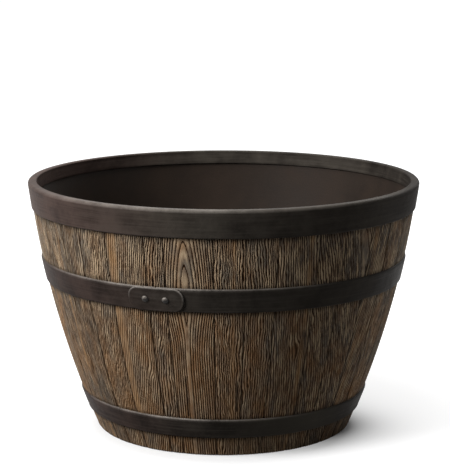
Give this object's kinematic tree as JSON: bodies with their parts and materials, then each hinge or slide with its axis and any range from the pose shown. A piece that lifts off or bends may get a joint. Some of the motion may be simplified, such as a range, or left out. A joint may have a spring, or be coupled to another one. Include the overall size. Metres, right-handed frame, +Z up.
{
  "type": "half barrel planter",
  "caption": "Round half barrel planter in moulded resin: a tub with wood-look staves, dark hoops, a riveted lap plate and pull-out drain plugs.",
  "frame": {"origin": "middle of the base, on the ground", "axes": "+Z up out of the mouth, front towards -Y, +X to the right as seen from the front; the lap plate is 20 degrees to the left of the front"},
  "size_m": [0.5199, 0.52, 0.333],
  "materials": {
    "stave_resin": "moulded wire-brushed wood grain, brown with dark pores, matte",
    "hoop_resin": "dark iron look, satin, with rounded edges",
    "rivet_metal": "dark paint, satin, worn on the crowns",
    "plug_rubber": "matte black"
  },
  "bodies": {
    "planter": {"tub": "stave_resin", "rim_hoop": "hoop_resin", "middle_hoop": "hoop_resin", "lap_plate": "hoop_resin", "lap_rivets": "rivet_metal", "bottom_hoop": "hoop_resin"},
    "plug_1": {"drain_plug_1": "plug_rubber"},
    "plug_2": {"drain_plug_2": "plug_rubber"},
    "plug_3": {"drain_plug_3": "plug_rubber"}
  },
  "joints": [
    {"name": "plug_1_pull", "type": "slide", "parent": "planter", "child": "plug_1", "axis": [0, 0, 1], "range_m": [0, 0.03]},
    {"name": "plug_2_pull", "type": "slide", "parent": "planter", "child": "plug_2", "axis": [0, 0, 1], "range_m": [0, 0.03]},
    {"name": "plug_3_pull", "type": "slide", "parent": "planter", "child": "plug_3", "axis": [0, 0, 1], "range_m": [0, 0.03]}
  ]
}
